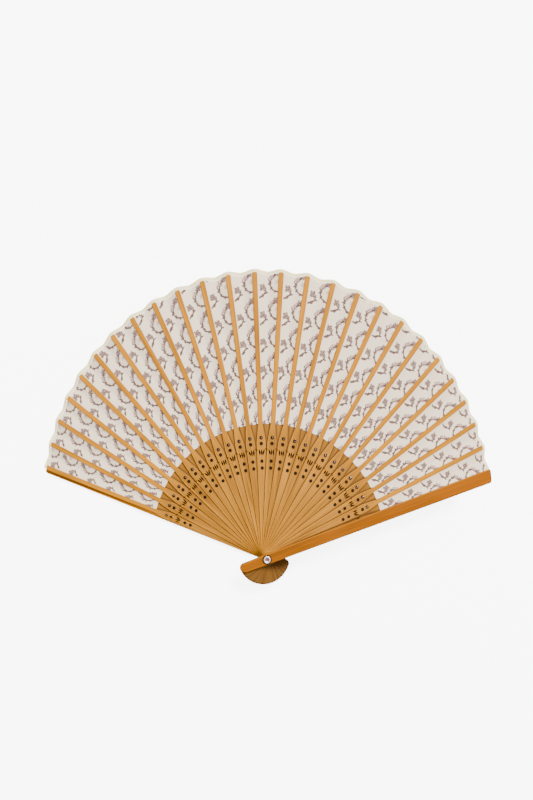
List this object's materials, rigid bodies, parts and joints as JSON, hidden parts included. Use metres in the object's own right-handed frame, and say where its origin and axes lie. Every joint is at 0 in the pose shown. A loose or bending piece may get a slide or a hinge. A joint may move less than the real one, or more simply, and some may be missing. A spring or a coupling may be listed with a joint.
{
  "type": "folding hand fan",
  "caption": "Folding bamboo hand fan, open: pierced slips on a metal rivet, a pleated cloth leaf with a small vine print, a pale edge binding and two plain guards.",
  "frame": {"origin": "on the pivot's axis, at the flat outer face of the rivet's back head", "axes": "+Z along the pivot towards the front of the fan, +Y up the middle of the open fan, +X towards its front guard"},
  "size_m": [0.3589, 0.2143, 0.0363],
  "materials": {
    "front_bamboo": "smooth pale bamboo, fine lengthwise grain",
    "back_bamboo": "smooth bamboo, fine lengthwise grain",
    "guard_bamboo": "deeper orange bamboo, satin lacquer",
    "leaf_cloth": "fine matt cloth with a small printed vine",
    "binding_tape": "ribbed cream tape",
    "rivet_metal": "bright plated steel"
  },
  "bodies": {
    "held_side": {"back_guard": "guard_bamboo", "back_rib_01": "back_bamboo", "front_rib_01": "front_bamboo", "leaf": "leaf_cloth", "edge_binding": "binding_tape", "rivet": "rivet_metal", "back_washer": "rivet_metal", "front_washer": "rivet_metal"},
    "unit_02": {"back_rib_02": "back_bamboo", "front_rib_02": "front_bamboo"},
    "unit_03": {"back_rib_03": "back_bamboo", "front_rib_03": "front_bamboo"},
    "unit_04": {"back_rib_04": "back_bamboo", "front_rib_04": "front_bamboo"},
    "unit_05": {"back_rib_05": "back_bamboo", "front_rib_05": "front_bamboo"},
    "unit_06": {"back_rib_06": "back_bamboo", "front_rib_06": "front_bamboo"},
    "unit_07": {"back_rib_07": "back_bamboo", "front_rib_07": "front_bamboo"},
    "unit_08": {"back_rib_08": "back_bamboo", "front_rib_08": "front_bamboo"},
    "unit_09": {"back_rib_09": "back_bamboo", "front_rib_09": "front_bamboo"},
    "unit_10": {"back_rib_10": "back_bamboo", "front_rib_10": "front_bamboo"},
    "unit_11": {"back_rib_11": "back_bamboo", "front_rib_11": "front_bamboo"},
    "unit_12": {"back_rib_12": "back_bamboo", "front_rib_12": "front_bamboo"},
    "unit_13": {"back_rib_13": "back_bamboo", "front_rib_13": "front_bamboo"},
    "unit_14": {"back_rib_14": "back_bamboo", "front_rib_14": "front_bamboo"},
    "unit_15": {"back_rib_15": "back_bamboo", "front_rib_15": "front_bamboo"},
    "unit_16": {"back_rib_16": "back_bamboo", "front_rib_16": "front_bamboo"},
    "unit_17": {"back_rib_17": "back_bamboo", "front_rib_17": "front_bamboo"},
    "unit_18": {"back_rib_18": "back_bamboo", "front_rib_18": "front_bamboo"},
    "unit_19": {"back_rib_19": "back_bamboo", "front_rib_19": "front_bamboo"},
    "unit_20": {"back_rib_20": "back_bamboo", "front_rib_20": "front_bamboo"},
    "unit_21": {"back_rib_21": "back_bamboo", "front_rib_21": "front_bamboo"},
    "unit_22": {"back_rib_22": "back_bamboo", "front_rib_22": "front_bamboo"},
    "unit_23": {"back_rib_23": "back_bamboo", "front_rib_23": "front_bamboo"},
    "unit_24": {"back_rib_24": "back_bamboo", "front_rib_24": "front_bamboo"},
    "unit_25": {"back_rib_25": "back_bamboo", "front_rib_25": "front_bamboo"},
    "front_side": {"front_guard": "guard_bamboo"}
  },
  "joints": [
    {"name": "fold_02", "type": "hinge", "parent": "held_side", "child": "unit_02", "pos_m": [0, 0, 0.0185], "axis": [0, 0, 1], "range_deg": [0, 5.48], "deforming": ["leaf", "edge_binding"]},
    {"name": "fold_03", "type": "hinge", "parent": "unit_02", "child": "unit_03", "pos_m": [0, 0, 0.0185], "axis": [0, 0, 1], "range_deg": [0, 5.48]},
    {"name": "fold_04", "type": "hinge", "parent": "unit_03", "child": "unit_04", "pos_m": [0, 0, 0.0185], "axis": [0, 0, 1], "range_deg": [0, 5.48]},
    {"name": "fold_05", "type": "hinge", "parent": "unit_04", "child": "unit_05", "pos_m": [0, 0, 0.0185], "axis": [0, 0, 1], "range_deg": [0, 5.48]},
    {"name": "fold_06", "type": "hinge", "parent": "unit_05", "child": "unit_06", "pos_m": [0, 0, 0.0185], "axis": [0, 0, 1], "range_deg": [0, 5.48]},
    {"name": "fold_07", "type": "hinge", "parent": "unit_06", "child": "unit_07", "pos_m": [0, 0, 0.0185], "axis": [0, 0, 1], "range_deg": [0, 5.48]},
    {"name": "fold_08", "type": "hinge", "parent": "unit_07", "child": "unit_08", "pos_m": [0, 0, 0.0185], "axis": [0, 0, 1], "range_deg": [0, 5.48]},
    {"name": "fold_09", "type": "hinge", "parent": "unit_08", "child": "unit_09", "pos_m": [0, 0, 0.0185], "axis": [0, 0, 1], "range_deg": [0, 5.48]},
    {"name": "fold_10", "type": "hinge", "parent": "unit_09", "child": "unit_10", "pos_m": [0, 0, 0.0185], "axis": [0, 0, 1], "range_deg": [0, 5.48]},
    {"name": "fold_11", "type": "hinge", "parent": "unit_10", "child": "unit_11", "pos_m": [0, 0, 0.0185], "axis": [0, 0, 1], "range_deg": [0, 5.48]},
    {"name": "fold_12", "type": "hinge", "parent": "unit_11", "child": "unit_12", "pos_m": [0, 0, 0.0185], "axis": [0, 0, 1], "range_deg": [0, 5.48]},
    {"name": "fold_13", "type": "hinge", "parent": "unit_12", "child": "unit_13", "pos_m": [0, 0, 0.0185], "axis": [0, 0, 1], "range_deg": [0, 5.48]},
    {"name": "fold_14", "type": "hinge", "parent": "unit_13", "child": "unit_14", "pos_m": [0, 0, 0.0185], "axis": [0, 0, 1], "range_deg": [0, 5.48]},
    {"name": "fold_15", "type": "hinge", "parent": "unit_14", "child": "unit_15", "pos_m": [0, 0, 0.0185], "axis": [0, 0, 1], "range_deg": [0, 5.48]},
    {"name": "fold_16", "type": "hinge", "parent": "unit_15", "child": "unit_16", "pos_m": [0, 0, 0.0185], "axis": [0, 0, 1], "range_deg": [0, 5.48]},
    {"name": "fold_17", "type": "hinge", "parent": "unit_16", "child": "unit_17", "pos_m": [0, 0, 0.0185], "axis": [0, 0, 1], "range_deg": [0, 5.48]},
    {"name": "fold_18", "type": "hinge", "parent": "unit_17", "child": "unit_18", "pos_m": [0, 0, 0.0185], "axis": [0, 0, 1], "range_deg": [0, 5.48]},
    {"name": "fold_19", "type": "hinge", "parent": "unit_18", "child": "unit_19", "pos_m": [0, 0, 0.0185], "axis": [0, 0, 1], "range_deg": [0, 5.48]},
    {"name": "fold_20", "type": "hinge", "parent": "unit_19", "child": "unit_20", "pos_m": [0, 0, 0.0185], "axis": [0, 0, 1], "range_deg": [0, 5.48]},
    {"name": "fold_21", "type": "hinge", "parent": "unit_20", "child": "unit_21", "pos_m": [0, 0, 0.0185], "axis": [0, 0, 1], "range_deg": [0, 5.48]},
    {"name": "fold_22", "type": "hinge", "parent": "unit_21", "child": "unit_22", "pos_m": [0, 0, 0.0185], "axis": [0, 0, 1], "range_deg": [0, 5.48]},
    {"name": "fold_23", "type": "hinge", "parent": "unit_22", "child": "unit_23", "pos_m": [0, 0, 0.0185], "axis": [0, 0, 1], "range_deg": [0, 5.48]},
    {"name": "fold_24", "type": "hinge", "parent": "unit_23", "child": "unit_24", "pos_m": [0, 0, 0.0185], "axis": [0, 0, 1], "range_deg": [0, 5.48]},
    {"name": "fold_25", "type": "hinge", "parent": "unit_24", "child": "unit_25", "pos_m": [0, 0, 0.0185], "axis": [0, 0, 1], "range_deg": [0, 5.48]},
    {"name": "fold_guard", "type": "hinge", "parent": "unit_25", "child": "front_side", "pos_m": [0, 0, 0.0185], "axis": [0, 0, 1], "range_deg": [0, 6.58]}
  ],
  "couplings": [
    {"joint": "fold_03", "follows": "fold_02", "ratio": 1},
    {"joint": "fold_04", "follows": "fold_02", "ratio": 1},
    {"joint": "fold_05", "follows": "fold_02", "ratio": 1},
    {"joint": "fold_06", "follows": "fold_02", "ratio": 1},
    {"joint": "fold_07", "follows": "fold_02", "ratio": 1},
    {"joint": "fold_08", "follows": "fold_02", "ratio": 1},
    {"joint": "fold_09", "follows": "fold_02", "ratio": 1},
    {"joint": "fold_10", "follows": "fold_02", "ratio": 1},
    {"joint": "fold_11", "follows": "fold_02", "ratio": 1},
    {"joint": "fold_12", "follows": "fold_02", "ratio": 1},
    {"joint": "fold_13", "follows": "fold_02", "ratio": 1},
    {"joint": "fold_14", "follows": "fold_02", "ratio": 1},
    {"joint": "fold_15", "follows": "fold_02", "ratio": 1},
    {"joint": "fold_16", "follows": "fold_02", "ratio": 1},
    {"joint": "fold_17", "follows": "fold_02", "ratio": 1},
    {"joint": "fold_18", "follows": "fold_02", "ratio": 1},
    {"joint": "fold_19", "follows": "fold_02", "ratio": 1},
    {"joint": "fold_20", "follows": "fold_02", "ratio": 1},
    {"joint": "fold_21", "follows": "fold_02", "ratio": 1},
    {"joint": "fold_22", "follows": "fold_02", "ratio": 1},
    {"joint": "fold_23", "follows": "fold_02", "ratio": 1},
    {"joint": "fold_24", "follows": "fold_02", "ratio": 1},
    {"joint": "fold_25", "follows": "fold_02", "ratio": 1},
    {"joint": "fold_guard", "follows": "fold_02", "ratio": 1.2}
  ]
}
